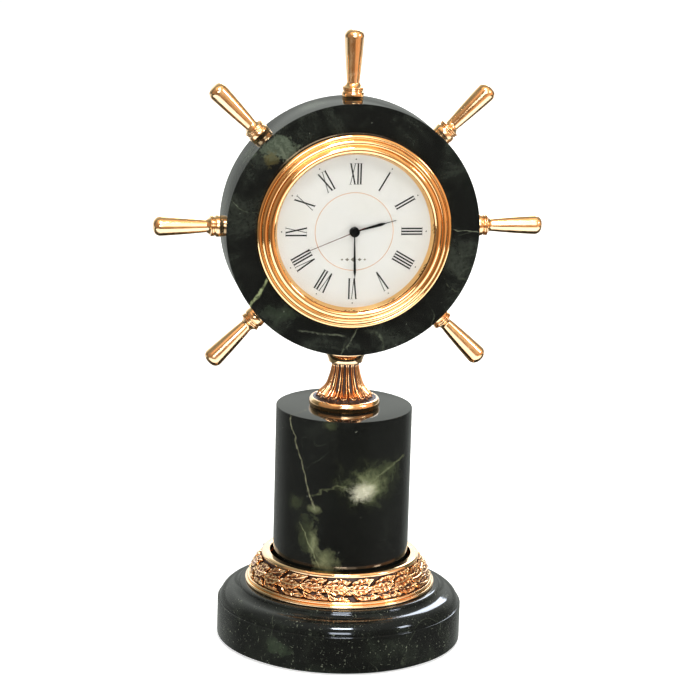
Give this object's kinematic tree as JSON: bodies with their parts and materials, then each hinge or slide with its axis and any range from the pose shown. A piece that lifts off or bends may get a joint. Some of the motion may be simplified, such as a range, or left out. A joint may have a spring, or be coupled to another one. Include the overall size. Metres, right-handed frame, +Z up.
{
  "type": "ship's wheel desk clock",
  "caption": "Stone desk clock shaped as a ship's wheel on a pillar, with brass handles, a fluted brass neck, a wreath ring and a push-in quartz insert.",
  "frame": {"origin": "middle of the underside of the base, on the surface it stands on", "axes": "+Z up through the pillar, the dial looks along -Y, +X to the right of someone reading the dial"},
  "size_m": [0.1448, 0.092, 0.231],
  "materials": {
    "felt": "matt felt",
    "green_stone": "polished, black green with pale veins",
    "patinated_brass": "cast relief, dark in the recesses",
    "polished_brass": "polished rose gold",
    "gold_plate": "polished gold plate",
    "steel": "zinc plated",
    "brass": "bare brass",
    "clear_glass": "flat mineral glass",
    "dial_enamel": "warm white, satin",
    "black_plastic": "moulded, matt",
    "rubber_band": "ribbed rubber",
    "white_plastic": "moulded acetal",
    "magnet": "sintered magnet with a plastic pinion",
    "copper_wire": "enamelled copper wire",
    "green_board": "solder resist",
    "black_hand": "satin black",
    "dark_red_hand": "satin"
  },
  "bodies": {
    "stand": {"felt_pad": "felt", "plinth": "green_stone", "wreath_ring": "patinated_brass", "pillar": "green_stone", "neck_casting": "patinated_brass", "neck_collar": "polished_brass", "tie_rod": "steel", "tie_washer": "steel", "tie_nut": "steel", "wheel_bush": "brass", "wheel_disc": "green_stone", "ferrule_top": "polished_brass", "ferrule_upper_right": "polished_brass", "ferrule_right": "polished_brass", "ferrule_lower_right": "polished_brass", "ferrule_lower_left": "polished_brass", "ferrule_left": "polished_brass", "ferrule_upper_left": "polished_brass", "handle_top": "polished_brass", "handle_upper_right": "polished_brass", "handle_right": "polished_brass", "handle_lower_right": "polished_brass", "handle_lower_left": "polished_brass", "handle_left": "polished_brass", "handle_upper_left": "polished_brass", "handle_studs": "steel"},
    "insert": {"insert_cup": "black_plastic", "bezel": "gold_plate", "lens": "clear_glass", "dial_ring": "gold_plate", "dial": "dial_enamel", "tension_band": "rubber_band", "movement_spacer": "black_plastic", "main_plate": "white_plastic", "train_bridge": "white_plastic", "plate_posts": "steel", "cup_screws": "steel", "bridge_screws": "steel", "stator": "steel", "coil_core": "steel", "coil_winding": "copper_wire", "circuit_board": "green_board", "quartz_can": "steel", "battery": "steel", "contact_minus": "brass", "contact_plus": "brass"},
    "hatch": {"battery_hatch": "black_plastic"},
    "seconds": {"second_wheel": "white_plastic", "second_hand": "dark_red_hand", "second_cap": "black_hand"},
    "rotor_arbor": {"rotor": "magnet"},
    "fifth_arbor": {"fifth_wheel": "white_plastic"},
    "third_arbor": {"third_wheel": "white_plastic"},
    "centre_arbor": {"centre_wheel": "brass"},
    "minutes": {"cannon_pinion": "brass", "minute_hand": "black_hand"},
    "hours": {"hour_wheel": "brass", "hour_hand": "black_hand"},
    "setting": {"motion_wheel": "white_plastic", "set_knob": "black_plastic"}
  },
  "joints": [
    {"name": "insert_pull", "type": "slide", "parent": "stand", "child": "insert", "axis": [0, -1, 0], "range_m": [0, 0.026]},
    {"name": "hatch_pull", "type": "slide", "parent": "insert", "child": "hatch", "axis": [0, 1, 0], "range_m": [0, 0.008]},
    {"name": "seconds_spin", "type": "hinge", "parent": "insert", "child": "seconds", "pos_m": [0, 0, 0.1586], "axis": [0, 1, 0], "continuous": true},
    {"name": "rotor_spin", "type": "hinge", "parent": "insert", "child": "rotor_arbor", "pos_m": [0.01099, 0, 0.1626], "axis": [0, 1, 0], "continuous": true},
    {"name": "fifth_spin", "type": "hinge", "parent": "insert", "child": "fifth_arbor", "pos_m": [0.00592, 0, 0.16075], "axis": [0, 1, 0], "continuous": true},
    {"name": "third_spin", "type": "hinge", "parent": "insert", "child": "third_arbor", "pos_m": [-0.0053, 0, 0.16166], "axis": [0, 1, 0], "continuous": true},
    {"name": "centre_spin", "type": "hinge", "parent": "insert", "child": "centre_arbor", "pos_m": [0, 0, 0.1586], "axis": [0, 1, 0], "continuous": true},
    {"name": "minute_spin", "type": "hinge", "parent": "insert", "child": "minutes", "pos_m": [0, 0, 0.1586], "axis": [0, 1, 0], "continuous": true},
    {"name": "hour_spin", "type": "hinge", "parent": "insert", "child": "hours", "pos_m": [0, 0, 0.1586], "axis": [0, 1, 0], "continuous": true},
    {"name": "setting_spin", "type": "hinge", "parent": "insert", "child": "setting", "pos_m": [0, 0, 0.152], "axis": [0, 1, 0], "continuous": true}
  ],
  "couplings": [
    {"joint": "rotor_spin", "follows": "seconds_spin", "ratio": 30},
    {"joint": "fifth_spin", "follows": "seconds_spin", "ratio": -6},
    {"joint": "third_spin", "follows": "seconds_spin", "ratio": -0.13333},
    {"joint": "centre_spin", "follows": "seconds_spin", "ratio": 0.016667},
    {"joint": "hour_spin", "follows": "minute_spin", "ratio": 0.083333},
    {"joint": "setting_spin", "follows": "minute_spin", "ratio": -0.33333}
  ]
}
